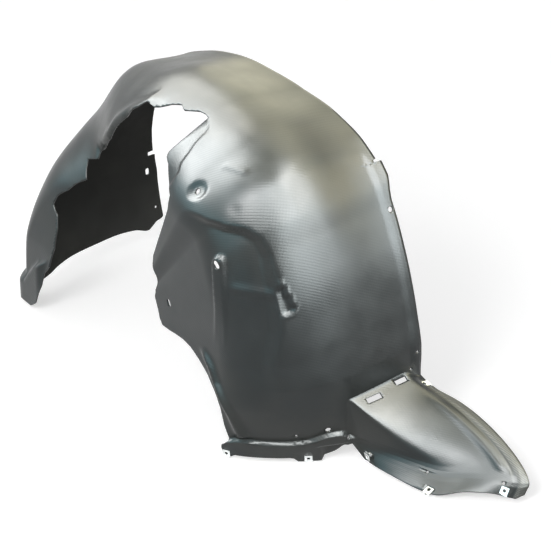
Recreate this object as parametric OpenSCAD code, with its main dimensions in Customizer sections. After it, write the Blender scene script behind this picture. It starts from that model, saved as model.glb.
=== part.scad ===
// Front wheel arch liner for the left side of a car, one moulded plastic shell with five metal clip nuts
// X points to the front of the car, Y outboard to the fender, Z up. The shell stands on its lower edges.
// The shell is one sheet: rows run around the arch, columns run from the fender lip to the inboard edge.
// A row is named by its station u: 0 at the rear foot, 195 at the level of the wheel centre in front,
// 207 at the ridge of the wing, 231 at the foot of the wing's side, 240 at the lower edge.
// Up to station 195 one unit of u is one degree of the arch.

/* [Shell] */
// Thickness of the moulded sheet
wall = 2.2; // [1.6:0.1:3.6]
// Radius of the fender lip around the wheel centre
arch_r = 345; // [320:1:370]
// Depth of the arch from the fender lip to the inboard wall at the foot
arch_depth = 266; // [240:1:290]
// Height of the wheel centre above the lower edges
axle_h = 137; // [125:1:150]

/* [Wing] */
// Length of the wing from the arch to its tip
wing_length = 237; // [200:1:270]
// Height that the rim strip of the wing drops below its groove
rim_drop = 5; // [2:0.5:8]

/* [Relief] */
// Height of the dome on the shoulder
dome_h = 7; // [0:0.5:12]
// Depth of the dished panel on the inboard wall
panel_depth = 10; // [0:0.5:14]
// Height of the pad around the oval hole
pad_h = 6; // [2:0.5:9]
// Height of the long bead beside the inboard edge
bead_h = 6; // [2:0.5:9]
// Step of the lower flange
flange_step = 7; // [3:0.5:10]

/* [Fixings] */
// Bore of the round push-rivet holes
rivet_d = 8; // [6:0.5:10]
// Width of an oval hole
oval_w = 7; // [5:0.5:9]
// Bore of the small drain and locating holes
small_d = 4; // [3:0.5:6]
// Screw bore of a clip nut
clip_bore = 4.8; // [4:0.1:5.5]
// Width of a clip nut along the edge
clip_w = 11; // [10:0.5:14]
// Sheet thickness of a clip nut
clip_sheet = 0.8; // [0.6:0.1:1.2]

/* [Hidden] */
wheel = [-116, 133, axle_h + 4];
ridge_u = 207;
foot_u = 231;
end_u = 240;
level_u = 195;
face_x = arch_r + 2;

// Rows across the arch: lip radius less arch_r, wall depth less arch_depth, corner sizes and roundness
radius_at = [[0, -2], [15, 0], [30, 0], [45, -3], [60, -12], [75, -30], [90, -40], [105, -43], [120, -34],
    [135, -11], [149, 6], [160, 1], [175, -2], [195, 2]];
depth_at = [[0, 0], [30, -26], [60, -58], [75, -54], [90, -46], [105, -41], [120, -28], [135, -12],
    [160, -2], [195, 0], [240, -4]];
corner_y_at = [[0, 70], [30, 165], [60, 120], [105, 97], [135, 110], [165, 120], [195, 140], [240, 162]];
corner_n_at = [[0, 20], [30, 80], [60, 140], [105, 95], [135, 100], [165, 110], [195, 120], [240, 130]];
round_at = [[0, 0.8], [60, 0.8], [135, 0.75], [195, 0.6], [240, 0.25]];
crown_at = [[0, 4], [30, -8], [75, 12], [120, 18], [150, 10], [195, 5], [240, 0]];
lean_at = [[0, 195], [120, 75], [150, 45], [165, 30], [180, 17], [195, 8], [207, 3], [225, 0], [240, 0]];

// Inboard edge: distance from the fender lip along the sheet, with the steps of the rear edge,
// the cut-out for the suspension strut at stations 61 to 121, and the ear of the lower flange
edge_at = [[0, 325], [4, 332], [12, 331], [20, 315], [26, 298], [27, 284], [31, 278], [37, 285], [43, 281],
    [48, 283], [49.5, 258], [54, 254], [60, 261], [61, 252], [71, 239], [76, 224], [82, 212], [88, 200],
    [95, 178], [102, 176], [107, 158], [110, 163], [117, 150], [120, 156], [121, 226], [123, 235],
    [129, 260], [132, 285], [134, 360], [137, 421], [150, 454], [172, 457], [186, 450], [187.5, 420],
    [191, 386], [200, 349], [214, 315], [232, 293], [236, 290], [240, 300]];

// Wing outline ahead of the arch, from the wheel centre: outboard edge by its share g of the length,
// front edge by its share p of the width, and lower edge beside the arch by its share t
function wx(x) = face_x + (x - 347) * wing_length / 237;
function wz(z) = z * axle_h / 137;
wing_out = [[0, wx(340), 0, wz(-56)], [0.17, wx(375), 5, wz(-60)], [0.34, wx(414), 10, wz(-60)],
    [0.52, wx(462), 13, wz(-66)], [0.69, wx(505), 13, wz(-77)], [0.86, wx(548), 8, wz(-90)],
    [1, wx(579), 0, wz(-103)]];
wing_front = [[0, wx(577), -8, wz(-128)], [0.14, wx(566), -24, wz(-131)], [0.22, wx(553), -30, wz(-128)],
    [0.36, wx(540), -44, wz(-126)], [0.6, wx(516), -66, wz(-127)], [0.8, wx(502), -84, wz(-131)],
    [1, wx(488), -97, wz(-134.8)]];
wing_side = [[0, wx(488), -97, wz(-134.8)], [0.1, wx(480), -102, wz(-134.8)], [0.2, wx(459), -103, wz(-134.8)],
    [0.78, wx(385), -116, wz(-134.8)], [0.84, wx(370), -116, wz(-134.8)], [0.9, wx(356), -115, wz(-134.8)],
    [0.95, wx(345), -118, wz(-128)], [1, wx(340), -128, wz(-120)]];
wing_toe = [wx(480), -70, wz(-130)];

// Columns: 0 to c_plate across the wing's plate, on to c_side over its side, on to 1 at the inboard edge
c_plate = 0.3;
c_side = 0.42;
plate_s = [[0, 90], [120, 90], [207, 125]];
side_s = [[0, 140], [120, 140], [207, 131], [231, 140], [240, 146]];
columns = concat([for (i = [0:7]) c_plate * i / 8], [for (i = [0:2]) c_plate + (c_side - c_plate) * i / 3],
    [for (i = [0:20]) c_side + (1 - c_side) * pow(i / 20, 1.1)]);
breaks = concat([for (e = edge_at) if (e[0] <= 200) e[0]],
    [ridge_u, 212, 217, 222, 226.5, 228.2, 230, foot_u, 232.5, 236, end_u]);
function row_step(u) = u < 118 ? 4.5 : u > 127 && u < 137 ? 1.5 : u < 180 ? 2.8 : 5;
rows = concat([for (k = [0:len(breaks) - 2])
    let (a = breaks[k], b = breaks[k + 1], n = ceil((b - a) / row_step(a)))
    for (i = [0:n - 1]) a + (b - a) * i / n], [end_u]);

// Smooth curve through a table of [place, value] pairs, with no overshoot
function slope(t, i, f) = (t[i + 1][f] - t[i][f]) / (t[i + 1][0] - t[i][0]);
function tangent(t, i, f) = i == 0 ? slope(t, 0, f) : i == len(t) - 1 ? slope(t, i - 1, f)
    : let (a = slope(t, i - 1, f), b = slope(t, i, f), h = t[i][0] - t[i - 1][0], g = t[i + 1][0] - t[i][0])
    a * b <= 0 ? 0 : 3 * (h + g) / ((2 * g + h) / a + (g + 2 * h) / b);
function span(t, x, i = 0) = i >= len(t) - 2 || x < t[i + 1][0] ? i : span(t, x, i + 1);
function along(t, x, f = 1) = let (v = min(max(x, t[0][0]), t[len(t) - 1][0]), i = span(t, v),
    h = t[i + 1][0] - t[i][0], r = (v - t[i][0]) / h)
    (2 * r ^ 3 - 3 * r ^ 2 + 1) * t[i][f] + (r ^ 3 - 2 * r ^ 2 + r) * h * tangent(t, i, f)
    + (3 * r ^ 2 - 2 * r ^ 3) * t[i + 1][f] + (r ^ 3 - r ^ 2) * h * tangent(t, i + 1, f);
function along3(t, x) = [along(t, x, 1), along(t, x, 2), along(t, x, 3)];
function clamp(x) = min(max(x, 0), 1);
function smooth(a, b, x) = let (r = clamp((x - a) / (b - a))) r * r * (3 - 2 * r);
function hump(d, r) = exp(-pow(d / r, 2));
function unit(v) = v / norm(v);

// Station: the lip point, the wall's direction and the section's sizes
function station(u) = let (a = level_u - min(u, level_u), r = arch_r + along(radius_at, u),
    low = u > level_u, d = along(lean_at, u) + 180)
    [low ? face_x : r * cos(a), low ? -axle_h * (u - level_u) / (end_u - level_u) : r * sin(a),
    cos(d), sin(d), arch_depth + along(depth_at, u), along(corner_y_at, u), along(corner_n_at, u),
    along(round_at, u), along(crown_at, u)];
// Section of the sheet at distance s from the lip: roof, rounded shoulder, inboard wall
function sheet(k, s) = let (a = k[4] - k[5], l = 0.77 * (k[5] + k[6]), t = clamp((s - a) / l),
    m = (1 - t) ^ 2 + 2 * k[7] * t * (1 - t) + t ^ 2,
    n = (s < a ? 0 : k[6] * t ^ 2 / m) - k[8] * pow(sin(180 * clamp(s / (a + 0.6 * l))), 2) + max(s - a - l, 0),
    y = s < a ? -s : -(a * (1 - t) ^ 2 + k[4] * (2 * k[7] * t * (1 - t) + t ^ 2)) / m)
    [k[0] + n * k[2], y, k[1] + n * k[3]];
function edge_s(u) = lookup(u, edge_at);
function sheet_s(u, c) = let (a = lookup(u, plate_s), b = lookup(u, side_s))
    c < c_plate ? a * c / c_plate : c < c_side ? a + (b - a) * (c - c_plate) / (c_side - c_plate)
    : b + (edge_s(u) - b) * (c - c_side) / (1 - c_side);

// Wing: plate from the ridge to the front edge, and its side down to the lower edge
ridge_k = station(ridge_u);
ridge_end = sheet(ridge_k, 125);
ridge_lip = sheet(ridge_k, 0);
function on_wing(u, c) = u > ridge_u && c < c_side;
function wing_g(u) = clamp((u - ridge_u) / (foot_u - ridge_u));
function wing_plate(g, h, p, top) = let (k = 1 - g, on_ridge = sheet(ridge_k, 125 * p),
    ruled = along3(wing_out, g) * (1 - p) + top * p,
    chord = ridge_lip * (1 - p) + ridge_end * p,
    plate = ruled + (on_ridge - chord) * k ^ 3 + (ridge_lip - along3(wing_out, 0)) * (1 - p) * k ^ 6)
    plate * (1 - h) + along3(wing_front, p) * h;
function wing(u, c) = let (g = wing_g(u), h = clamp((u - foot_u) / (end_u - foot_u)),
    top = ridge_end * (1 - g) + wing_toe * g, t = clamp((c - c_plate) / (c_side - c_plate)))
    c < c_plate ? wing_plate(g, h, c / c_plate, top)
    : (top * (1 - t) + sheet(station(u), lookup(u, side_s)) * t) * (1 - h) + along3(wing_side, t) * h;
function point(u, c) = on_wing(u, c) ? wing(u, c) : sheet(station(u), sheet_s(u, c));
function normal(u, c) = let (s = sheet_s(u, c), k = station(u),
    tu = on_wing(u, c) ? point(min(u + 1.2, end_u), c) - point(u - 1.2, c)
        : sheet(station(min(u + 0.4, end_u)), s) - sheet(station(max(u - 0.4, 0)), s),
    ts = on_wing(u, c) ? point(u, c + 0.008) - point(u, max(c - 0.008, 0))
        : sheet(k, s + 1.5) - sheet(k, max(s - 1.5, 0)))
    unit(cross(ts, tu));

// Distance from a line on the sheet between two [u, s] places, k millimetres to one unit of u
function off_line(u, s, a, b, k = 6) = let (p = [(u - a[0]) * k, s - a[1]], q = [(b[0] - a[0]) * k, b[1] - a[1]],
    t = clamp(p * q / (q * q))) [norm(p - q * t), t];

// Relief of the sheet along its outward normal
panel_edge = [[140, 275], [147, 262], [154, 212], [160, 198], [169, 197], [185, 215]];
bead_line = [[192, 346], [200, 322], [214, 291], [228, 271]];
corner_line = [[121, 150], [123, 180], [128, 212], [129.5, 251], [130.5, 300]];
function foot(s) = smooth(205, 228, s) * smooth(306, 286, s);
function dome(u, s) = dome_h * hump(u - 148, 16) * hump(s - 135, 55);
function panel(u, s) = -panel_depth * smooth(0, 26, s - lookup(u, panel_edge)) * smooth(143, 151, u)
    * smooth(206, 176, u);
function dent(u, s) = -4 * hump((u - 148.5) * 6, 14) * hump(s - 219, 13)
    + 2.5 * hump(off_line(u, s, [137, 192], [141.5, 180])[0], 4);
function pad(u, s) = pad_h * smooth(16, 10, off_line(u, s, [158, 272], [163, 279], 5)[0]);
function rib(u, s, a, b) = let (d = off_line(u, s, [160, a], [186, b], 4.5)) 1.2 * hump(d[0], 5) * (1 - d[1]);
function bead(u, s) = bead_h * hump(s - lookup(u, bead_line), 9) * smooth(188, 193, u) * smooth(229.5, 226, u);
function cut_corner(u, s) = -4 * smooth(0, 8, s - lookup(u, corner_line)) * smooth(119.5, 120.2, u)
    * smooth(131, 129.5, u);
function cut_rim(u, s) = 7 * smooth(60, 70, u) * smooth(104, 97, u) * smooth(-26, 0, s - edge_s(u));
function louvre(u, s) = let (d = off_line(u, s, [168, 200], [174, 197], 5.5), w = 2 + 9 * d[1])
    3 * hump(d[0] - w - 2, 2.5) - 5 * smooth(w, w * 0.6, d[0]);
function lip_line(u, s) = 2 * hump(s - 16, 5) * smooth(140, 150, u) * smooth(204, 198, u);
function flange(u, s) = flange_step * smooth(226.5, 230, u) * smooth(134, 146, s)
    - 9 * smooth(231.5, 232.5, u) * smooth(150, 156, s) * smooth(188, 184, s);
function sheet_relief(u, s) = dome(u, s) + panel(u, s) + dent(u, s) + pad(u, s) + rib(u, s, 283, 340)
    + rib(u, s, 259, 300) + bead(u, s) + cut_corner(u, s) + cut_rim(u, s) + louvre(u, s) + lip_line(u, s)
    + flange(u, s) + 16 * foot(s) * smooth(8, 0, u);
function wing_relief(g, p) = let (m = smooth(0.03, 0.22, g))
    -2.5 * hump(p - 0.13, 0.035) * m - rim_drop * smooth(0.13, 0, p) * m
    + 3 * hump(p - 0.26, 0.05) * smooth(0.2, 0.4, g) * smooth(1, 0.9, g);
function relief(u, c) = on_wing(u, c) ? (c < c_plate ? wing_relief(wing_g(u), c / c_plate) : 0)
    : sheet_relief(u, sheet_s(u, c));
// The rear foot reaches down to the level of the lower edges
function foot_drop(u, c) = u < 12 ? let (s = sheet_s(u, c), z = sheet(station(0), s)[2])
    [0, 0, (-axle_h - z) * foot(s) * smooth(12, 0, u)] : [0, 0, 0];

// Both faces of the sheet, joined around its edge into one solid
function face_row(u, depth) = [for (c = columns)
    point(u, c) + (relief(u, c) - depth) * normal(u, c) + foot_drop(u, c)];
nu = len(rows);
nc = len(columns);
function ring(a, b, c, d) = [[a, b, c], [a, c, d]];
module shell() {
    outer = [for (u = rows) face_row(u, 0)];
    inner = [for (u = rows) face_row(u, wall)];
    n = nu * nc;
    faces = concat(
        [for (i = [0:nu - 2]) for (j = [0:nc - 2]) let (k = i * nc + j)
            each ring(k, k + nc, k + nc + 1, k + 1)],
        [for (i = [0:nu - 2]) for (j = [0:nc - 2]) let (k = n + i * nc + j)
            each ring(k, k + 1, k + nc + 1, k + nc)],
        [for (i = [0:nu - 2]) let (k = i * nc) each ring(k, n + k, n + k + nc, k + nc)],
        [for (i = [0:nu - 2]) let (k = i * nc + nc - 1) each ring(k, k + nc, n + k + nc, n + k)],
        [for (j = [0:nc - 2]) each ring(j, j + 1, n + j + 1, n + j)],
        [for (j = [0:nc - 2]) let (k = (nu - 1) * nc + j) each ring(k, n + k, n + k + 1, k + 1)]);
    polyhedron(points = concat([for (r = outer) each r], [for (r = inner) each r]), faces = faces);
}

// Place on the sheet's outer face at station u and distance s: [position, inboard direction, rearward, normal]
function column(u, s) = let (b = lookup(u, side_s)) c_side + (1 - c_side) * (s - b) / (edge_s(u) - b);
function frame(p, along_row, n) = let (x = unit(along_row - n * (along_row * n))) [p, x, cross(n, x), n];
function spot(u, s) = let (k = station(u), n = unit(cross(sheet(k, s + 2) - sheet(k, s - 2),
    sheet(station(u + 0.5), s) - sheet(station(u - 0.5), s))))
    frame(sheet(k, s) + sheet_relief(u, s) * n, sheet(k, s + 2) - sheet(k, s - 2), n);
function wing_spot(u, c) = let (n = normal(u, c))
    frame(point(u, c) + relief(u, c) * n, point(u, c + 0.01) - point(u, c - 0.01), n);
module at(f) {
    multmatrix([[f[1][0], f[2][0], f[3][0], f[0][0]], [f[1][1], f[2][1], f[3][1], f[0][1]],
        [f[1][2], f[2][2], f[3][2], f[0][2]]]) children();
}
module bore(d) {
    translate([0, 0, -12]) cylinder(h = 24, d = d, $fn = 48);
}
module oval(w, l) {
    for (y = [-1, 1]) translate([0, y * (l - w) / 2, 0]) bore(w);
    cube([w, l - w, 24], center = true);
}

// Holes: the main rivet hole, the two ovals, the small ones near the edges, and the wing's two slots
main_hole = spot(138, 242);
ovals = [spot(158.5, 272), spot(167, 429), spot(13.8, 14)];
rivet_holes = [spot(161, 8), spot(222, 168)];
small_holes = [spot(225, 205), spot(198, 8), spot(205, 18), spot(2.6, 9), spot(2, 262),
    wing_spot(233, 0.317), wing_spot(234, 0.08)];
slots = [[wing_spot(209.4, 0.236), 26, 9], [wing_spot(208.8, 0.104), 22, 7]];
module holes() {
    at(main_hole) bore(rivet_d);
    for (f = ovals) at(f) oval(oval_w, oval_w + 5);
    for (f = rivet_holes) at(f) bore(rivet_d);
    for (f = small_holes) at(f) bore(small_d);
    for (s = slots) at(s[0]) cube([s[1], s[2], 16], center = true);
}

// Clip nuts: places along the lower edge by their column, seen from the edge point E inwards
clip_c = [0.955, 0.6, 0.4, 0.312, 0.062];
clip_gap = 0.3;
clip_len = 12;
function edge_frame(c) = let (n = normal(end_u - 1.5, c), e = point(end_u, c) + relief(end_u, c) * n,
    i = point(end_u - 3, c) + relief(end_u - 3, c) * n, a = point(end_u, c + 0.01) - point(end_u, c - 0.01),
    x = unit(a), y = unit((i - e) - x * ((i - e) * x)), z = cross(x, y))
    z * n > 0 ? [e, x, y, z] : [e, -x, y, -z];
clip_frames = [for (c = clip_c) edge_frame(c)];
module clip_nut() {
    in = clip_gap + clip_sheet;
    difference() {
        union() {
            translate([-clip_w / 2, -in + 1.6, clip_gap]) cube([clip_w, clip_len, clip_sheet]);
            translate([-clip_w / 2, -in + 1.6, -wall - in]) cube([clip_w, clip_len, clip_sheet]);
            for (x = [-clip_w / 2, 1.5])
                translate([x, -in + 1.6, -wall - in]) cube([clip_w / 2 - 1.5, clip_sheet, wall + 2 * in]);
            translate([0, 7.2, -wall - in - 2.2]) cylinder(h = 2.2 + clip_sheet / 2, d = clip_bore + 2.6, $fn = 48);
        }
        translate([0, 7.2, -12]) cylinder(h = 24, d = clip_bore, $fn = 48);
    }
}
module clip_seat() {
    translate([-clip_w / 2 - 0.6, -6, -8]) cube([clip_w + 1.2, 7.6, 16]);
    translate([0, 7.2, -12]) cylinder(h = 24, d = clip_bore + 1.6, $fn = 48);
}
module liner() {
    color([0.2, 0.21, 0.2]) translate(wheel) difference() {
        shell();
        holes();
        for (f = clip_frames) at(f) clip_seat();
    }
}
module clip_nuts() {
    color([0.86, 0.87, 0.86]) translate(wheel) for (f = clip_frames) at(f) clip_nut();
}

liner();
clip_nuts();
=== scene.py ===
import math

import bmesh
import bpy
import numpy as np
from mathutils import Matrix, Vector


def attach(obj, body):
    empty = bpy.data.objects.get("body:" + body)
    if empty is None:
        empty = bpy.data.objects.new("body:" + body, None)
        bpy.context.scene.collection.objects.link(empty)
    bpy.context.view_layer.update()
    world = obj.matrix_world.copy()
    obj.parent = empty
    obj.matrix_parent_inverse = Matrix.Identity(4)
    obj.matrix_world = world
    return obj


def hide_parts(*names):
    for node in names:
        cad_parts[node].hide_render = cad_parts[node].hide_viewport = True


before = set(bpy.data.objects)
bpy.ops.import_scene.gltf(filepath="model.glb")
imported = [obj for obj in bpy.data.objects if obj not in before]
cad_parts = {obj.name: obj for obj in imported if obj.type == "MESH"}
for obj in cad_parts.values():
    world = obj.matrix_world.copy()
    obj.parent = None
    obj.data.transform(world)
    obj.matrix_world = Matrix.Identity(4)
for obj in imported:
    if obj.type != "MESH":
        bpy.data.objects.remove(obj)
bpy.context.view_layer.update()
print("frame loaded")


def addObject(name, bm):
    mesh = bpy.data.meshes.new(name)
    bm.to_mesh(mesh)
    bm.free()
    obj = bpy.data.objects.new(name, mesh)
    bpy.context.scene.collection.objects.link(obj)
    return obj


# wheel centre in the row frame, in millimetres, as in the part's source
wheelCentre = (-116.0, 133.0, 141.0)

camera = {
    "right": (0.58635, 0.80902, -0.04100),
    "up": (-0.39173, 0.32749, 0.85983),
    "look": (-0.70905, 0.48810, -0.50894),
    "distance": 3.0,
    "lens": 128.4,
    "shiftY": -0.0532,
}


def makeCamera():
    data = bpy.data.cameras.new("viewCamera")
    data.lens = camera["lens"]
    data.sensor_width = 36.0
    data.shift_y = camera["shiftY"]
    data.clip_end = 40.0
    obj = bpy.data.objects.new("viewCamera", data)
    bpy.context.scene.collection.objects.link(obj)
    look = Vector(camera["look"])
    place = Vector(wheelCentre) / 1000 - look * camera["distance"]
    turn = Matrix((camera["right"], camera["up"], -look)).transposed().to_4x4()
    obj.matrix_world = Matrix.Translation(place) @ turn
    bpy.context.scene.camera = obj


makeCamera()
print("camera placed")

liner = {
    "wall": 2.2,
    "archRadius": 345.0,
    "archDepth": 266.0,
    "axleHeight": 137.0,
    "rimDrop": 5.0,
    "domeHeight": 7.0,
    "panelDepth": 10.0,
    "padHeight": 6.0,
    "beadHeight": 6.0,
    "flangeStep": 6.5,
    "dentDepth": 0.7,
    "holeDip": 3.0,
    "creaseHeight": 1.1,
    "padRibHeight": 1.0,
    "ridgeHeight": 1.5,
    "scoreDepth": 1.2,
    "flareHeight": 7,
    "louvreRim": 2.2,
    "louvreDepth": 6,
    "lipStripHeight": 1.8,
    "rollWidth": 13,
    "rollCurve": 0.05,
    "pocketDepth": 6,
    "ledgeHeight": 11,
    "grooveDepth": 2.8,
    "foldHeight": 3,
}
# a station is one degree of the arch from the rear foot to levelU, then a share of the drop to the lower edge
ridgeU, footU, endU, levelU = 207.0, 231.0, 240.0, 195.0
stationLength = 6.0
widestS, creaseS = 490, 131
faceX = liner["archRadius"] + 2.0

# by station: radius, depth, shoulder size and roundness, crown, and the way the sheet faces
radiusAt = [(0, -2), (15, 0), (30, 0), (45, -3), (60, -12), (75, -30), (90, -40), (105, -43), (120, -34),
            (135, -9), (148, 10), (155, 8), (161, 2), (168, -2), (180, -5), (186, -4), (195, 2)]
depthAt = [(0, 8), (12, -3), (30, -24), (60, -58), (75, -54), (90, -46), (105, -41), (120, -28), (135, -12),
           (160, -2), (195, 0), (240, -4)]
cornerYAt = [(0, 70), (30, 165), (48, 178), (60, 150), (75, 115), (105, 97), (135, 110), (165, 120),
             (195, 140), (240, 162)]
cornerNAt = [(0, 20), (30, 84), (45, 128), (60, 160), (75, 125), (105, 95), (135, 100), (165, 110),
             (195, 120), (240, 130)]
roundAt = [(0, 0.8), (60, 0.8), (135, 0.75), (195, 0.6), (240, 0.25)]
crownAt = [(0, 4), (30, -8), (50, -2), (61, 6), (68, 10), (80, 6), (98, 14), (120, 18), (150, 10), (195, 5),
           (240, 0)]
leanAt = [(0, 195), (120, 75), (150, 45), (165, 30), (180, 17), (195, 8), (207, 3), (225, 0), (240, 0)]

# inboard edge: distance from the fender lip along the sheet
edgeAt = [(0, 336), (3.3, 340), (5.1, 351.6), (13.3, 346), (21.4, 324.2), (26.2, 304.3), (26.8, 295.8),
          (28.3, 283.3), (32.2, 277.9), (37.9, 278.8), (43.3, 271.4), (47.9, 270), (49.8, 252.2), (52.2, 236),
          (57.6, 246.6), (59.6, 238), (69.6, 243.5), (75.3, 237.7), (80.5, 223.6), (86.4, 212.5),
          (91.5, 200.5), (95.6, 190.9), (98.1, 181.3), (101.4, 183.5), (102.6, 181.1), (106.6, 169.7), (109.6, 165),
          (112.4, 170), (117.6, 161), (119.8, 160), (121.5, 162.5), (121.7, 240.5), (126.7, 259.5),
          (131.4, 279), (133.3, 305), (133.7, 342), (134, 378), (134.8, 414), (137.5, 431), (141.3, 447),
          (147, 470), (152.8, 487), (160, 488.5), (174, 481.6), (180, 479.5), (183.3, 474), (184.6, 455),
          (185.2, 438), (186.2, 417), (188, 398), (191, 378), (194.8, 356), (203.6, 333), (212.5, 315),
          (223, 303), (230.7, 289), (232, 294), (234.5, 303), (237, 303), (240, 296)]

# by distance from the lip, in stations: lower edge of the flange, rear lower edge, bend of the rows at the
# cut-out; then, by station, how far the fender-side edge lies from the lip line
lowEnd = [(136, 232.2), (145, 231.8), (163, 236.3), (178, 238.4), (180, 240), (206, 240), (208, 237.5),
          (220, 237.8), (249, 238), (276, 238.2), (280, 240), (298, 240), (302, 238), (490, 237.4)]
rearLow = [(-6, 0.2), (2, -0.9), (12, -1.3), (22, -2.3), (31, -3), (55, -1.7), (90, -1.2), (128, -1.5),
           (167, -1.9), (204, -3.2), (215, -4.4), (226, -5), (240, -3), (262, 0), (335, 0)]
cutBend = [(150, 0), (161, -0.5), (166, 0.1), (176, 1.6), (183, 0.8), (190, 0), (207, -1.7), (226, -2.9),
           (233, -2.2), (240, 0.5), (258, 0)]
lipAt = [(0, -2), (7.6, -4), (13.3, -5), (16.8, -3), (18.2, -3), (18.3, 10), (19.5, 10), (19.6, 0),
         (26.5, 2), (40, 0), (147, 0), (149.6, -1), (149.7, 4), (150.3, 4), (150.4, -8), (154, -8.5),
         (157, -3), (159, -1), (164, -1), (170, 0), (240, 0)]

# wing: outboard edge, front edge and side, as shares of their length and places from the wheel centre
wingOut = [(0, 344, 0, -57), (0.06, 356, 2, -61), (0.17, 375, 5, -60.5), (0.34, 414, 10, -60),
           (0.52, 462, 13, -66), (0.69, 505, 13, -77), (0.86, 548, 8, -90), (1, 579, 0, -103)]
wingFront = [(0, 577, -8, -128), (0.14, 566, -24, -131), (0.22, 553, -30, -128), (0.36, 540, -44, -126),
             (0.6, 516, -66, -127), (0.8, 502, -84, -131), (1, 488, -97, -134.8)]
wingSide = [(0, 488, -97, -134.8), (0.1, 480, -102, -134.8), (0.2, 459, -105, -134.8),
            (0.78, 387, -117.5, -134.8), (0.85, 372, -118, -134.8), (0.92, 360, -120, -134.3),
            (0.97, 351, -123, -127), (1, 347, -129, -112.6)]
wingToe = np.array((476.0, -63.0, -119.0))

# columns up to plateEnd lie on the wing's plate, up to sideEnd on its side
plateEnd, sideEnd = 0.30, 0.42
plateS = [(0, 90), (120, 90), (207, 131)]
sideS = [(0, 140), (120, 140), (207, 135), (231, 137), (240, 138)]

# lines of the relief, by station and distance from the lip
panelEdge = [(136, 283), (142, 272), (146.6, 259), (150.6, 238), (153.6, 217), (156.5, 206), (161, 200),
             (168, 198), (172, 200), (179, 207), (188, 222)]
beadLine = [(187, 362), (191, 346), (200, 322), (214, 288), (226.5, 268)]
cornerLine = [(121.5, 162), (124.2, 182), (127, 207), (128.2, 234), (128.5, 252)]
# the flange's step, by distance from the lip
stepU = [(131, 227.6), (138, 228.9), (145, 226.4), (153, 224.6), (173, 225), (191, 227.9), (211, 229),
         (240, 229.2), (268, 228.6), (289, 230.7), (303, 231.4)]
domeAt, dentAt = (148, 135), (148, 221)
dipLine = ((138, 243.4), (138, 243.6))
creaseLine = ((137.4, 196), (141.7, 184.5))
padLine = ((158, 276), (186, 324))
ridgeLine = ((166, 262), (170, 215))
louvreLine = ((167.6, 201.5), (174.2, 198.5))


def along(table, x, field=1):
    # smooth curve through a table of places and values, with no overshoot
    t = np.array([row[0] for row in table], float)
    v = np.array([row[field] for row in table], float)
    d, h = np.diff(v) / np.diff(t), np.diff(t)
    m = np.zeros(len(t))
    m[0], m[-1] = d[0], d[-1]
    for i in range(1, len(t) - 1):
        if d[i - 1] * d[i] > 0:
            m[i] = 3 * (h[i - 1] + h[i]) / ((2 * h[i] + h[i - 1]) / d[i - 1] + (h[i] + 2 * h[i - 1]) / d[i])
    x = np.clip(np.asarray(x, float), t[0], t[-1])
    i = np.clip(np.searchsorted(t, x, side="right") - 1, 0, len(t) - 2)
    r = (x - t[i]) / h[i]
    return ((2 * r**3 - 3 * r**2 + 1) * v[i] + (r**3 - 2 * r**2 + r) * h[i] * m[i]
            + (3 * r**2 - 2 * r**3) * v[i + 1] + (r**3 - r**2) * h[i] * m[i + 1])


def along3(table, x):
    return np.stack([along(table, x, f) for f in (1, 2, 3)], -1)


def straight(table, x):
    return np.interp(x, [row[0] for row in table], [row[1] for row in table])


def smooth(a, b, x):
    r = np.clip((x - a) / (b - a), 0, 1)
    return r * r * (3 - 2 * r)


def hump(d, r):
    return np.exp(-((d / r) ** 2))


def station(u):
    a = np.radians(levelU - np.minimum(u, levelU))
    r = liner["archRadius"] + along(radiusAt, u)
    low = u > levelU
    d = np.radians(along(leanAt, u) + 180)
    x = np.where(low, faceX, r * np.cos(a))
    z = np.where(low, -liner["axleHeight"] * (u - levelU) / (endU - levelU), r * np.sin(a))
    return x, z, np.cos(d), np.sin(d)


def bentU(u, s):
    # stations follow the drawn edges: rear lower edge, cut-out, ridge by the lip, flange
    v = u + along(rearLow, s) * smooth(7, 0, u)
    v = v + straight(cutBend, s) * smooth(110, 121.5, u) * smooth(133, 121.5, u)
    v = v + 5.5 * smooth(30, 0, s) * smooth(196, 207, u)
    low = footU + (u - footU) * (straight(lowEnd, s) - footU) / (endU - footU)
    return np.where(u > footU, low, v)


def sheetPoint(u, s):
    # roof from the lip, rounded shoulder, inboard wall
    u = bentU(u, s)
    x, z, dx, dz = station(u)
    depth = liner["archDepth"] + along(depthAt, u)
    cy, cn = along(cornerYAt, u), along(cornerNAt, u)
    w, crown = along(roundAt, u), along(crownAt, u)
    a, l = depth - cy, 0.77 * (cy + cn)
    t = np.clip((s - a) / l, 0, 1)
    m = (1 - t) ** 2 + 2 * w * t * (1 - t) + t**2
    n = np.where(s < a, 0, cn * t**2 / m)
    n = n - crown * np.sin(np.pi * np.clip(s / (a + 0.6 * l), 0, 1)) ** 2 + np.maximum(s - a - l, 0)
    y = np.where(s < a, -s, -(a * (1 - t) ** 2 + depth * (2 * w * t * (1 - t) + t**2)) / m)
    return np.stack([x + n * dx, y, z + n * dz], -1)


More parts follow.
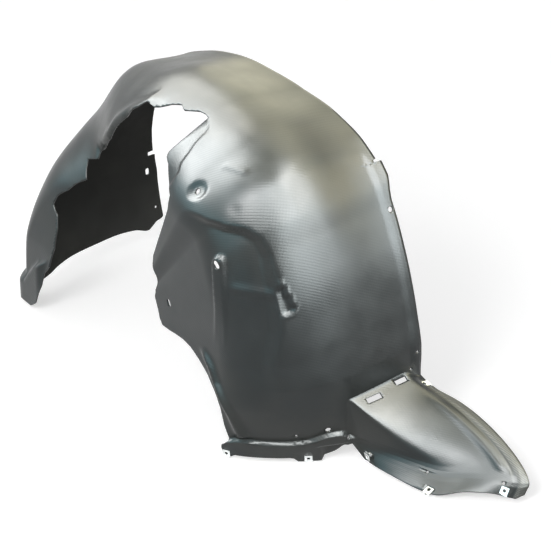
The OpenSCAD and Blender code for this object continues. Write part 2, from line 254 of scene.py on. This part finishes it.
def wingPoint(u, p, t):
    # p across the plate, t down the side wall
    g = np.clip((u - ridgeU) / (footU - ridgeU), 0, 1)[..., None]
    h = np.clip((u - footU) / (endU - footU), 0, 1)[..., None]
    ridge = np.full_like(u, ridgeU)
    end, lip = sheetPoint(ridge, 0 * u + creaseS), sheetPoint(ridge, 0 * u)
    top = end * (1 - g) + wingToe * g
    top = top - np.array((0, 0, 5.0)) * np.sin(np.pi * g)
    pp, tt = p[..., None], t[..., None]
    ruled = along3(wingOut, g[..., 0]) * (1 - pp) + top * pp
    chord = lip * (1 - pp) + end * pp
    plate = ruled + (sheetPoint(ridge, creaseS * p) - chord) * (1 - g) ** 3
    plate = plate + (lip - along3(wingOut, 0 * u)) * (1 - pp) * (1 - g) ** 6
    plate = plate * (1 - h) + along3(wingFront, p) * h
    fan = top * (1 - tt) + sheetPoint(u, straight(sideS, u)) * tt
    fan = fan * (1 - h) + along3(wingSide, t) * h
    return np.where((tt > 0), fan, plate)


def softWing(u, c):
    # the wing's folds are rounded: places nearby are averaged, less towards its edges and its root
    g = np.clip((u - ridgeU) / (footU - ridgeU), 0, 1)
    keep = smooth(0, 0.35, g)
    rc = 0.030 * keep * smooth(sideEnd, 0.36, c) * smooth(0.0, 0.06, c)
    ru = 4.0 * smooth(ridgeU, 225, u) * smooth(endU, endU - 6, u) * smooth(sideEnd, 0.37, c)
    total, weight = 0, 0
    for i, wi in ((-1, 1), (-0.5, 2), (0, 2), (0.5, 2), (1, 1)):
        for j, wj in ((-1, 1), (-0.5, 2), (0, 2), (0.5, 2), (1, 1)):
            cc, uu = np.clip(c + i * rc, 0, sideEnd), np.clip(u + j * ru, ridgeU, endU)
            p = np.clip(cc / plateEnd, 0, 1)
            t = np.clip((cc - plateEnd) / (sideEnd - plateEnd), 0, 1)
            total = total + wi * wj * wingPoint(uu, p, t)
            weight += wi * wj
    return total / weight


def offLine(u, s, line, k=stationLength):
    # distance in millimetres from a line on the sheet, and the share of its length
    a, b = line
    px, py = (u - a[0]) * k, s - a[1]
    qx, qy = (b[0] - a[0]) * k, b[1] - a[1]
    t = np.clip((px * qx + py * qy) / (qx * qx + qy * qy), 0, 1)
    return np.hypot(px - qx * t, py - qy * t), t


def footMask(s):
    return smooth(224, 240, s) * np.interp(s, [298, 316, 328, 340, 350], [1, 0.8, 0.45, 0.12, 0])


def footLedge(u, s):
    # the foot stands out below a short ledge, then along a curved bead
    top = np.interp(s, [225, 275, 291, 310], [4.0, 4.2, 6.0, 7.4])
    return smooth(top + 0.9, top - 0.6, u) * smooth(226, 240, s) * smooth(345, 318, s)


def panelRelief(u, s):
    # dome, dished panel, dent, dip round the main hole, crease
    d = liner["domeHeight"] * hump(u - domeAt[0], 16) * hump(s - domeAt[1], 55)
    width = 12 + 12 * smooth(156, 168, u)
    inside = smooth(-2, width, s - straight(panelEdge, u))
    d = d - liner["panelDepth"] * inside * smooth(139, 149, u) * smooth(210, 178, u)
    d = d - liner["dentDepth"] * hump((u - dentAt[0]) * 6, 8) * hump(s - dentAt[1], 7)
    d = d - liner["holeDip"] * smooth(18, 8, offLine(u, s, dipLine)[0])
    d = d + liner["creaseHeight"] * hump(offLine(u, s, creaseLine)[0], 3.2)
    r, t = offLine(u, s, padLine, 6)
    d = d + liner["padHeight"] * smooth(14, 9.5, r) * (1 - smooth(0, 0.85, t))
    d = d + liner["padRibHeight"] * hump(r - 13, 3) * smooth(0.1, 0.3, t) * (1 - smooth(0.6, 1, t))
    return d + liner["ridgeHeight"] * hump(offLine(u, s, ridgeLine)[0], 7)


def sheetRelief(u, s):
    d = panelRelief(u, s)
    bead = hump(s - straight(beadLine, u), 8) * smooth(185, 190, u) * smooth(229.5, 226, u)
    d = d + liner["beadHeight"] * bead
    scored = smooth(0, 3, s - straight(cornerLine, u)) * smooth(119.5, 120.5, u) * smooth(129.5, 128, u)
    d = d - liner["scoreDepth"] * scored
    fromEdge = s - straight(edgeAt, u)
    d = d + liner["flareHeight"] * smooth(60, 70, u) * smooth(104, 97, u) * smooth(-26, 0, fromEdge)
    r, t = offLine(u, s, louvreLine, 5.8)
    w = 0.8 + 7.5 * t  # the louvre widens from its apex
    d = d + liner["louvreRim"] * hump(r - w - 1.2, 1.8) * smooth(205, 198, s + 0 * u)
    d = d - liner["louvreDepth"] * smooth(w, w * 0.82, r)
    d = d + liner["lipStripHeight"] * smooth(17, 11, s) * smooth(146, 152, u) * smooth(205, 199, u)
    d = d + liner["flangeStep"] * smooth(-0.27, 0.27, u - straight(stepU, s)) * smooth(131, 140, s)
    roll = np.clip(fromEdge + liner["rollWidth"], 0, liner["rollWidth"]) ** 2
    d = d - liner["rollCurve"] * roll * smooth(56, 62, u) * smooth(94, 88, u)
    pocket = smooth(230.6, 231.2, u) * smooth(147, 151, s) * smooth(181, 178, s)
    return d - liner["pocketDepth"] * pocket + liner["ledgeHeight"] * footLedge(u, s)


def wingRelief(g, p):
    # groove and dropped rim strip along the outboard edge, and the fold beside the plate's crease
    m = smooth(0.03, 0.22, g)
    d = -liner["grooveDepth"] * hump(p - 0.135, 0.02) * m - liner["rimDrop"] * smooth(0.13, 0, p) * m
    return d + liner["foldHeight"] * hump(p - 0.26, 0.05) * smooth(0.2, 0.4, g) * smooth(1, 0.9, g)


def plainSheet(u, c, s):
    onWing = (u > ridgeU) & (c < sideEnd)
    base = sheetPoint(u, s)
    if onWing.any():
        base[onWing] = softWing(u[onWing], c[onWing])
    return base, onWing


def columnS(u, c, s=None):
    # distance from the lip of a column on the plate and the side
    a, b = straight(plateS, u), straight(sideS, u)
    lip = straight(lipAt, u)
    low = np.where(c < plateEnd, lip + (a - lip) * c / plateEnd,
                   a + (b - a) * (c - plateEnd) / (sideEnd - plateEnd))
    return low if s is None else np.where(c < sideEnd, low, s)


def skinPoint(u, c, s):
    # u station, c column below sideEnd, s distance beyond it
    s = columnS(u, c, s)
    base, onWing = plainSheet(u, c, s)
    tu = sheetPoint(np.minimum(u + 0.4, endU), s) - sheetPoint(np.maximum(u - 0.4, 0), s)
    ts = sheetPoint(u, s + 1.5) - sheetPoint(u, s - 1.5)
    if onWing.any():
        wu, wc = u[onWing], np.minimum(c[onWing], sideEnd - 1e-6)
        tu[onWing] = wingAt(np.minimum(wu + 1.2, endU), wc) - wingAt(wu - 1.2, wc)
        near, far = np.maximum(wc - 0.008, 0), np.minimum(wc + 0.008, sideEnd - 1e-6)
        ts[onWing] = wingAt(wu, far) - wingAt(wu, near)
    n = np.cross(ts, tu)
    n = n / (np.linalg.norm(n, axis=-1, keepdims=True) + 1e-12)
    g, p = np.clip((u - ridgeU) / (footU - ridgeU), 0, 1), c / plateEnd
    d = np.where(onWing, np.where(c < plateEnd, wingRelief(g, p), 0), sheetRelief(u, s))
    drop = np.zeros_like(base)
    z0 = sheetPoint(0 * u, s)[..., 2]
    drop[..., 2] = np.where(u < 12, (-liner["axleHeight"] - z0) * footMask(s) * smooth(12, 0, u), 0)
    place = base + d[..., None] * n + drop
    place[..., 2] = np.where(u < 12, np.maximum(place[..., 2], -liner["axleHeight"]), place[..., 2])
    return place, n


def wingAt(u, c):
    wing = softWing(np.maximum(u, ridgeU + 1e-6), c)
    return np.where((u > ridgeU)[..., None], wing, sheetPoint(u, columnS(u, c)))


def steps(stops, step):
    # even steps that keep each stop
    out = []
    for a, b in zip(stops[:-1], stops[1:]):
        n = max(1, math.ceil((b - a) / step(a) - 1e-6))
        out += [a + (b - a) * i / n for i in range(n)]
    return np.array(out + [stops[-1]])


def rowStep(u):
    return 0.35 if u < 9 else 0.4 if 117 <= u < 138 or u >= 226 else 0.62 if u < 200 else 0.55


def softFloor(v, low, band):
    # eases a coordinate so that it never passes the low limit
    return np.where(v < low + band, low + band - band * np.tanh((low + band - v) / band), v)


def makeShell():
    lipStops = {row[0] for row in lipAt if row[0] < 30 or 149 < row[0] < 158}
    stops = sorted({row[0] for row in edgeAt} | lipStops | {ridgeU, footU, endU})
    rows = steps(stops, rowStep)
    # a flat grid takes its places from the sheet
    plate = np.linspace(0, plateEnd, 31)
    side = np.linspace(plateEnd, sideEnd, 9)[1:]
    far = np.linspace(0, 1, 92)[1:]
    nr, nc = len(rows), len(plate) + len(side) + len(far)
    bm = bmesh.new()
    bmesh.ops.create_grid(bm, x_segments=nc - 1, y_segments=nr - 1, size=1)
    mesh = bpy.data.meshes.new("linerShell")
    bm.to_mesh(mesh)
    bm.free()
    co = np.zeros(len(mesh.vertices) * 3)
    mesh.vertices.foreach_get("co", co)
    co = co.reshape(-1, 3)
    col = np.rint((co[:, 0] + 1) / 2 * (nc - 1)).astype(int)
    row = np.rint((co[:, 1] + 1) / 2 * (nr - 1)).astype(int)
    cAll = np.concatenate([plate, side, np.full(len(far), sideEnd)])
    u, c = rows[row], cAll[col]
    k = np.clip(col - (len(plate) + len(side) - 1), 0, None)
    b = straight(sideS, u)
    s = np.minimum(b + (widestS - b) * np.concatenate([[0], far])[k], straight(edgeAt, u))
    pos, n = skinPoint(u, c, s)
    pos[:, 1] = softFloor(pos[:, 1], -281.2, 8.0)
    pos[:, 0] = softFloor(pos[:, 0], -344.3, 2.0)
    pos = (pos + np.array(wheelCentre)) / 1000
    mesh.vertices.foreach_set("co", pos.ravel())
    sheetS = columnS(u, c, s)
    uvLayer = mesh.uv_layers.new(name="sheetMap")
    zoneLayer = mesh.uv_layers.new(name="zoneMap")
    loops = np.zeros(len(mesh.loops), int)
    mesh.loops.foreach_get("vertex_index", loops)
    uv = np.stack([u * stationLength / 1000, sheetS / 1000], -1)[loops]
    uvLayer.data.foreach_set("uv", uv.ravel())
    downWing = np.clip((u - ridgeU) / (footU - ridgeU), 0, 1)
    zone = np.stack([downWing, np.where(c < plateEnd, c / plateEnd, 1.0)], -1)
    zoneLayer.data.foreach_set("uv", zone[loops].ravel())
    bm = bmesh.new()
    bm.from_mesh(mesh)
    bmesh.ops.remove_doubles(bm, verts=bm.verts, dist=2e-5)
    bmesh.ops.dissolve_degenerate(bm, edges=bm.edges, dist=1e-6)
    for f in bm.faces:
        f.smooth = True
    bm.to_mesh(mesh)
    bm.free()
    obj = bpy.data.objects.new("linerShell", mesh)
    bpy.context.scene.collection.objects.link(obj)
    print("sheet", nr, "rows", nc, "columns", len(mesh.polygons), "faces")
    return obj


def applyModifiers(obj):
    bpy.context.view_layer.update()
    deps = bpy.context.evaluated_depsgraph_get()
    mesh = bpy.data.meshes.new_from_object(obj.evaluated_get(deps))
    obj.modifiers.clear()
    old = obj.data
    obj.data = mesh
    bpy.data.meshes.remove(old)


def cutWith(obj, cutter, solver, crossing=False):
    # crossing: the cutter's own shapes run through one another
    mod = obj.modifiers.new("cut", "BOOLEAN")
    mod.operation = "DIFFERENCE"
    mod.solver = solver
    if crossing:
        mod.use_self = True
    mod.object = cutter
    applyModifiers(obj)
    bpy.data.objects.remove(cutter)


# the clips' edge points, directions into the sheet and outward normals are the source's; the sixth clip, at
# extraStation on the wing's outboard edge, is made here
clip = {"width": 11.0, "length": 12.0, "gap": 0.3, "bore": 4.8, "boreAt": 7.2, "metal": 0.9, "seat": 3.98,
        "extraStation": 209.2, "places": (
    ((236.1, -262.5, -137.9), (0.056, -0.097, 0.994), (0.495, -0.862, -0.112)),
    ((317.0, -179.2, -138.7), (0.190, -0.133, 0.973), (0.796, -0.558, -0.232)),
    ((371.7, -116.0, -134.8), (0.029, -0.185, 0.982), (-0.018, -0.983, -0.185)),
    ((480.0, -102.0, -134.8), (-0.193, 0.966, 0.173), (0.034, -0.170, 0.985)),
    ((554.9, -28.9, -128.4), (-0.044, 0.497, 0.867), (0.493, -0.744, 0.451)))}
holeSizes = {"rivet": 8.0, "oval": 7.0, "ovalLength": 12.0, "small": 4.0}
# holes by station and distance from the lip, or by station and column on the wing, where slots add their size
rivetHoles = ((161.3, 6.8), (222.5, 169))
ovalHoles = ((158.1, 276.7), (168.1, 446), (13.8, 17.5))
smallHoles = ((224.8, 205), (198, 7), (205, 18), (228, 143.5), (3.3, 10.5), (2.2, 235))
wingHoles = ((233, 0.317), (234, 0.08))
wingSlots = ((208.8, 0.227, 25, 8), (207.9, 0.1, 20, 7))
mainHole = {"place": (162.138, -235.269, 249.719), "axis": (0.122942, -0.763135, 0.634437)}


def spot(u, s=None, c=None):
    # place, inboard direction, rearward direction and normal on the sheet, in metres
    def arr(v):
        return np.array([float(v)])

    if c is None:
        pos, n = skinPoint(arr(u), arr(1.0), arr(s))
        nxt, _ = skinPoint(arr(u), arr(1.0), arr(s + 2))
        if columnS(arr(u), arr(sideEnd - 1e-6))[0] > s:
            a, b = straight(plateS, u), straight(sideS, u)
            c0 = s / a * plateEnd if s < a else plateEnd + (s - a) / (b - a) * (sideEnd - plateEnd)
            pos, n = skinPoint(arr(u), arr(c0), arr(s))
            pos = pos if u <= ridgeU else skinPoint(arr(u), arr(1.0), arr(s))[0]
            nxt = pos + (sheetPoint(arr(u), arr(s + 2)) - sheetPoint(arr(u), arr(s)))
    else:
        pos, n = skinPoint(arr(u), arr(c), arr(0.0))
        nxt, _ = skinPoint(arr(u), arr(c + 0.01), arr(0.0))
    n = Vector(n[0])
    x = Vector((nxt - pos)[0])
    x = (x - n * x.dot(n)).normalized()
    y = n.cross(x)
    place = Vector((pos[0] + np.array(wheelCentre)) / 1000)
    return Matrix((x, y, n)).transposed().to_4x4(), place


cutDepth = 0.016


def addCutter(bm, at, width, length=None, flat=False):
    turn, place = at
    m = Matrix.Translation(place) @ turn
    if flat:
        scale = Matrix.Diagonal((width / 1000, length / 1000, cutDepth, 1))
        bmesh.ops.create_cube(bm, size=1.0, matrix=m @ scale)
        return
    geom = bmesh.ops.create_cone(bm, cap_ends=True, cap_tris=False, segments=40, radius1=width / 2000,
                                 radius2=width / 2000, depth=cutDepth, matrix=m)
    if length:
        half = (length - width) / 2000
        axis = turn.to_3x3() @ Vector((0, 1, 0))
        for v in geom["verts"]:
            v.co += axis * (half if (v.co - place).dot(axis) > 0 else -half)


def clipPlaces():
    out = []
    for edge, inward, n in clip["places"]:
        y, z = Vector(inward).normalized(), Vector(n).normalized()
        x = y.cross(z)
        turn = Matrix((x, y, z)).transposed().to_4x4()
        out.append(Matrix.Translation((Vector(edge) + Vector(wheelCentre)) / 1000) @ turn)
    turn, place = spot(clip["extraStation"], c=0.004)
    inward, n = turn.to_3x3().col[0], turn.to_3x3().col[2]
    out.append(Matrix.Translation(place) @ Matrix((inward.cross(n), inward, n)).transposed().to_4x4())
    return out


def addBlock(bm, at, low, high):
    size = [(b - a) / 1000 for a, b in zip(low, high)]
    mid = [(a + b) / 2000 for a, b in zip(low, high)]
    bmesh.ops.create_cube(bm, size=1.0, matrix=at @ Matrix.Translation(mid) @ Matrix.Diagonal((*size, 1)))


def addBore(bm, at, radius, depth):
    bmesh.ops.create_cone(bm, cap_ends=True, cap_tris=False, segments=32, radius1=radius, radius2=radius,
                          depth=depth, matrix=at @ Matrix.Translation((0, clip["boreAt"] / 1000, 0)))


def addSeat(bm, at):
    # room for a clip: level faces on both sides, a notch at the edge and the way through its bore
    half, gap, wall, seat = clip["width"] / 2, clip["gap"], liner["wall"], clip["seat"]
    inner = clip["length"] + 1
    addBlock(bm, at, (-half - 0.4, -6, gap - 0.02), (half + 0.4, inner, gap + seat))
    addBlock(bm, at, (-half - 0.4, -6, -wall - gap - seat), (half + 0.4, inner, -wall - gap + 0.02))
    addBlock(bm, at, (-half - 0.6, -6, -8), (half + 0.6, 1.6, 8))
    addBore(bm, at, clip["bore"] / 2000 + 0.0008, 0.024)


def cutHoles(obj):
    bm = bmesh.new()
    turn = Vector(mainHole["axis"]).to_track_quat("Z", "Y").to_matrix().to_4x4()
    addCutter(bm, (turn, (Vector(mainHole["place"]) + Vector(wheelCentre)) / 1000), holeSizes["rivet"])
    for u, s in rivetHoles:
        addCutter(bm, spot(u, s), holeSizes["rivet"])
    for u, s in ovalHoles:
        addCutter(bm, spot(u, s), holeSizes["oval"], holeSizes["ovalLength"])
    for u, s in smallHoles:
        addCutter(bm, spot(u, s), holeSizes["small"])
    for u, c in wingHoles:
        addCutter(bm, spot(u, c=c), holeSizes["small"])
    for u, c, width, length in wingSlots:
        addCutter(bm, spot(u, c=c), width, length, flat=True)
    for place in clipPlaces():
        addSeat(bm, place)
    cutWith(obj, addObject("holeCutters", bm), "MANIFOLD")


plastic = {"colour": (0.007, 0.011, 0.0115), "wornColour": (0.016, 0.018, 0.016), "roughness": (0.29, 0.37),
           "pitch": 3.8, "ribDepth": 0.022, "grainDepth": 0.012, "stripColour": (0.060, 0.060, 0.050),
           "specular": 0.36}
tyreSide = {"colour": (0.006, 0.006, 0.0055), "dustColour": (0.014, 0.014, 0.012), "roughness": (0.62, 0.78),
            "grainDepth": 0.06, "specular": 0.08}
zincPlate = {"colour": (0.80, 0.81, 0.80), "dullColour": (0.66, 0.67, 0.67), "roughness": (0.28, 0.42),
             "grainDepth": 0.01, "metallic": 0.85}
handling = {"patchScale": 7.0, "rubScale": 26.0, "grainScale": 900.0}


def newMaterial(name):
    mat = bpy.data.materials.new(name)
    mat.use_nodes = True
    nodes = mat.node_tree.nodes
    nodes.clear()
    out = nodes.new("ShaderNodeOutputMaterial")
    shader = nodes.new("ShaderNodeBsdfPrincipled")
    mat.node_tree.links.new(shader.outputs[0], out.inputs[0])
    return mat, mat.node_tree, shader


def put(tree, socket, value):
    if hasattr(value, "links"):
        tree.links.new(value, socket)
    else:
        socket.default_value = value


def maths(tree, kind, a, b=0.0, c=0.0):
    node = tree.nodes.new("ShaderNodeMath")
    node.operation = kind
    for socket, value in zip(node.inputs, (a, b, c)):
        put(tree, socket, value)
    return node.outputs[0]


def blendColour(tree, amount, low, high):
    node = tree.nodes.new("ShaderNodeMix")
    node.data_type = "RGBA"
    put(tree, node.inputs["Factor"], amount)
    for socket, value in ((node.inputs[6], low), (node.inputs[7], high)):
        put(tree, socket, (*value, 1) if isinstance(value, tuple) else value)
    return node.outputs[2]


def spread(tree, value, low, high, outLow=0.0, outHigh=1.0):
    node = tree.nodes.new("ShaderNodeMapRange")
    node.interpolation_type = "SMOOTHSTEP"
    put(tree, node.inputs[0], value)
    for socket, number in zip(list(node.inputs)[1:5], (low, high, outLow, outHigh)):
        socket.default_value = number
    return node.outputs[0]


def cloud(tree, vector, scale, detail):
    node = tree.nodes.new("ShaderNodeTexNoise")
    node.inputs["Scale"].default_value = scale
    node.inputs["Detail"].default_value = detail
    tree.links.new(vector, node.inputs["Vector"])
    return node.outputs["Fac"]


def surfaceGroup():
    # broad handling marks and a fine grain, shared by the three materials
    group = bpy.data.node_groups.new("handledSurface", "ShaderNodeTree")
    for name, kind in (("Low Colour", "NodeSocketColor"), ("High Colour", "NodeSocketColor"),
                       ("Low Roughness", "NodeSocketFloat"), ("High Roughness", "NodeSocketFloat")):
        group.interface.new_socket(name, in_out="INPUT", socket_type=kind)
    for name, kind in (("Colour", "NodeSocketColor"), ("Roughness", "NodeSocketFloat"),
                       ("Grain", "NodeSocketFloat")):
        group.interface.new_socket(name, in_out="OUTPUT", socket_type=kind)
    given, made = group.nodes.new("NodeGroupInput"), group.nodes.new("NodeGroupOutput")
    place = group.nodes.new("ShaderNodeTexCoord").outputs["Object"]
    patches = spread(group, cloud(group, place, handling["patchScale"], 4.0), 0.42, 0.72)
    rub = spread(group, cloud(group, place, handling["rubScale"], 5.0), 0.3, 0.75)
    group.links.new(blendColour(group, patches, given.outputs[0], given.outputs[1]), made.inputs[0])
    span = maths(group, "SUBTRACT", given.outputs[3], given.outputs[2])
    group.links.new(maths(group, "MULTIPLY_ADD", rub, span, given.outputs[2]), made.inputs[1])
    group.links.new(cloud(group, place, handling["grainScale"], 2.0), made.inputs[2])
    return group


surface = surfaceGroup()


def addSurface(tree, values, low, high):
    node = tree.nodes.new("ShaderNodeGroup")
    node.node_tree = surface
    node.inputs[0].default_value = (*values[low], 1)
    node.inputs[1].default_value = (*values[high], 1)
    node.inputs[2].default_value, node.inputs[3].default_value = values["roughness"]
    return node.outputs


def addBump(tree, shader, height, depth):
    bump = tree.nodes.new("ShaderNodeBump")
    bump.inputs["Strength"].default_value = 1.0
    bump.inputs["Distance"].default_value = depth / 1000
    tree.links.new(height, bump.inputs["Height"])
    tree.links.new(bump.outputs[0], shader.inputs["Normal"])


def sheetUv(tree, name):
    node = tree.nodes.new("ShaderNodeUVMap")
    node.uv_map = name
    split = tree.nodes.new("ShaderNodeSeparateXYZ")
    tree.links.new(node.outputs[0], split.inputs[0])
    return split.outputs[0], split.outputs[1]


def ribs(tree, u, v, down, across, pitch):
    # waves across the sheet; down and across give the direction they run in
    turn = 2 * math.pi * 1000 / pitch
    total = maths(tree, "MULTIPLY_ADD", u, down * turn, maths(tree, "MULTIPLY", v, across * turn))
    return maths(tree, "SINE", total)


def plasticMaterial():
    mat, tree, shader = newMaterial("satinPlastic")
    colour, rough, grain = addSurface(tree, plastic, "colour", "wornColour")
    u, v = sheetUv(tree, "sheetMap")
    g, p = sheetUv(tree, "zoneMap")
    weave = maths(tree, "MULTIPLY_ADD", ribs(tree, u, v, 0.45, -0.89, plastic["pitch"]), 0.35,
                  ribs(tree, u, v, 0.87, 0.5, plastic["pitch"]))
    # the wing's rim strip is hatched and lighter
    strip = maths(tree, "MULTIPLY", spread(tree, p, 0.135, 0.11), spread(tree, g, 0.03, 0.08))
    hatch = spread(tree, ribs(tree, u, v, 0.7, 0.7, plastic["pitch"] * 0.9), -0.4, 0.6, 0.25, 1.0)
    tone = blendColour(tree, maths(tree, "MULTIPLY", strip, hatch), colour, plastic["stripColour"])
    tree.links.new(tone, shader.inputs["Base Color"])
    tree.links.new(maths(tree, "MULTIPLY_ADD", strip, 0.15, rough), shader.inputs["Roughness"])
    shader.inputs["Specular IOR Level"].default_value = plastic["specular"]
    height = maths(tree, "MULTIPLY_ADD", grain, plastic["grainDepth"] / plastic["ribDepth"], weave)
    addBump(tree, shader, height, plastic["ribDepth"])
    return mat


def tyreSideMaterial():
    mat, tree, shader = newMaterial("mattPlastic")
    colour, rough, grain = addSurface(tree, tyreSide, "colour", "dustColour")
    tree.links.new(colour, shader.inputs["Base Color"])
    tree.links.new(rough, shader.inputs["Roughness"])
    shader.inputs["Specular IOR Level"].default_value = tyreSide["specular"]
    addBump(tree, shader, grain, tyreSide["grainDepth"])
    return mat


def zincMaterial():
    mat, tree, shader = newMaterial("brightZinc")
    colour, rough, grain = addSurface(tree, zincPlate, "colour", "dullColour")
    tree.links.new(colour, shader.inputs["Base Color"])
    tree.links.new(rough, shader.inputs["Roughness"])
    shader.inputs["Metallic"].default_value = zincPlate["metallic"]
    addBump(tree, shader, grain, zincPlate["grainDepth"])
    return mat


def makeClip(at, metal):
    # two plates joined round the sheet's edge, cut from a block
    half, gap, wall, t = clip["width"] / 2, clip["gap"], liner["wall"], clip["metal"]
    bm = bmesh.new()
    addBlock(bm, at, (-half, -t, -wall - gap - t), (half, clip["length"], gap + t))
    obj = addObject("edgeClip", bm)
    bm = bmesh.new()
    addBlock(bm, at, (-half - 1, 0, -wall - gap), (half + 1, clip["length"] + 1, gap))
    addBore(bm, at, clip["bore"] / 2000, 0.02)
    cutWith(obj, addObject("clipCutter", bm), "EXACT", crossing=True)
    obj.data.materials.clear()
    obj.data.materials.append(metal)
    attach(obj, "root")
    print("edge clip", len(obj.data.polygons), "faces")


shell = makeShell()
shell.data.materials.append(plasticMaterial())
shell.data.materials.append(tyreSideMaterial())
wall = shell.modifiers.new("wall", "SOLIDIFY")
wall.thickness = liner["wall"] / 1000
wall.offset = -1
wall.material_offset = 1
wall.material_offset_rim = 0
applyModifiers(shell)
cutHoles(shell)
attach(shell, "root")
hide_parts("liner")
print("liner", len(shell.data.polygons), "faces")

zinc = zincMaterial()
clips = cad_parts["clip_nuts"]
clips.data.materials.clear()
clips.data.materials.append(zinc)
makeClip(clipPlaces()[-1], zinc)

light = {"keyPower": 55.0, "keyPlace": (0.9, -2.2, 2.6), "keyTarget": (0.05, -0.05, 0.3),
         "keySize": (1.2, 1.2), "worldStrength": 0.62, "boxDistance": 3.0, "boxCentre": (0, 0, 0.25)}
floorLook = {"colour": (0.64, 0.64, 0.64, 1), "glow": 0.54, "size": 12}
# softboxes by azimuth and elevation range in degrees, seen from the part, with their radiance and colour
softboxes = {
    "frontLeftBox": ((-68, -27), (31, 62), 19.0, (0.97, 1.0, 1.0)),
    "frontBox": ((-28, 12), (31, 62), 23.0, (0.97, 1.0, 0.99)),
    "frontRightBox": ((11, 52), (31, 66), 22.0, (1.0, 1.0, 0.96)),
    "frontHighBox": ((-2, 84), (60, 76), 13.0, (0.98, 1.0, 0.98)),
    "frontLowBox": ((-24, 41), (2, 36), 17.0, (0.92, 0.99, 1.0)),
    "rearBox": ((148, 190), (24, 62), 9.5, (1.0, 1.0, 0.93)),
    "rearLeftBox": ((188, 236), (20, 68), 24.0, (0.96, 1.0, 1.0)),
    "coolHighBox": ((-124, -72), (30, 58), 5.0, (0.82, 0.97, 1.0)),
    "warmBox": ((51, 88), (38, 63), 6.5, (1.0, 0.95, 0.68)),
    "warmFarBox": ((87, 124), (38, 63), 5.2, (1.0, 0.95, 0.68)),
    "warmRearBox": ((120, 150), (4, 58), 2.8, (1.0, 0.95, 0.66)),
    "warmSideBox": ((46, 72), (3, 42), 6.0, (1.0, 0.92, 0.60)),
    "topBox": ((-180, 180), (66, 90), 2.6, (1.0, 1.0, 0.80)),
    "coolBox": ((-150, -60), (3, 28), 3.0, (0.50, 0.90, 1.0)),
}


def addLamp(name, place, target, size, power, colour):
    data = bpy.data.lights.new(name, "AREA")
    data.shape = "RECTANGLE"
    data.size, data.size_y = size
    data.energy = power
    data.color = colour
    obj = bpy.data.objects.new(name, data)
    bpy.context.scene.collection.objects.link(obj)
    aim = (Vector(target) - Vector(place)).normalized()
    obj.matrix_world = Matrix.Translation(place) @ aim.to_track_quat("-Z", "Y").to_matrix().to_4x4()
    return obj


def addSoftbox(name, turn, rise, radiance, colour):
    # a large panel that only reflections see, so that it leaves the written colours alone
    far = light["boxDistance"]
    az, el = math.radians(sum(turn) / 2), math.radians(sum(rise) / 2)
    centre = Vector(light["boxCentre"])
    wide = 2 * far * math.tan(math.radians(turn[1] - turn[0]) / 2) * math.cos(el)
    high = 2 * far * math.tan(math.radians(rise[1] - rise[0]) / 2)
    if rise[1] >= 90:
        el = math.pi / 2
        wide = high = 2 * far * math.tan(math.radians(90 - rise[0]))
    aim = Vector((math.cos(el) * math.cos(az), math.cos(el) * math.sin(az), math.sin(el)))
    lamp = addLamp(name, centre + aim * far, centre, (wide, high), radiance * math.pi * wide * high, colour)
    lamp.visible_diffuse = False
    lamp.visible_camera = False


def makeFloor():
    bm = bmesh.new()
    bmesh.ops.create_grid(bm, x_segments=1, y_segments=1, size=floorLook["size"])
    floor = addObject("paleFloor", bm)
    mat, tree, shader = newMaterial("paleFloor")
    shader.inputs["Base Color"].default_value = floorLook["colour"]
    shader.inputs["Roughness"].default_value = 1.0
    shader.inputs["Specular IOR Level"].default_value = 0.0
    # the camera, reflections and clear parts see a near-white floor that keeps its shadow
    path = tree.nodes.new("ShaderNodeLightPath")
    shader.inputs["Emission Color"].default_value = (1, 1, 1, 1)
    seen = maths(tree, "MAXIMUM", path.outputs["Is Camera Ray"],
                 maths(tree, "MAXIMUM", path.outputs["Is Glossy Ray"], path.outputs["Is Transmission Ray"]))
    tree.links.new(maths(tree, "MULTIPLY", seen, floorLook["glow"]), shader.inputs["Emission Strength"])
    floor.data.materials.append(mat)


def makeWorld():
    world = bpy.data.worlds.new("studio")
    bpy.context.scene.world = world
    world.use_nodes = True
    background = world.node_tree.nodes["Background"]
    background.inputs["Color"].default_value = (1, 1, 1, 1)
    background.inputs["Strength"].default_value = light["worldStrength"]


makeFloor()
makeWorld()
addLamp("keyLamp", light["keyPlace"], light["keyTarget"], light["keySize"], light["keyPower"], (1, 1, 1))
for name, values in softboxes.items():
    addSoftbox(name, *values)
bpy.context.scene.view_settings.view_transform = "Standard"
print("floor and lamps placed")
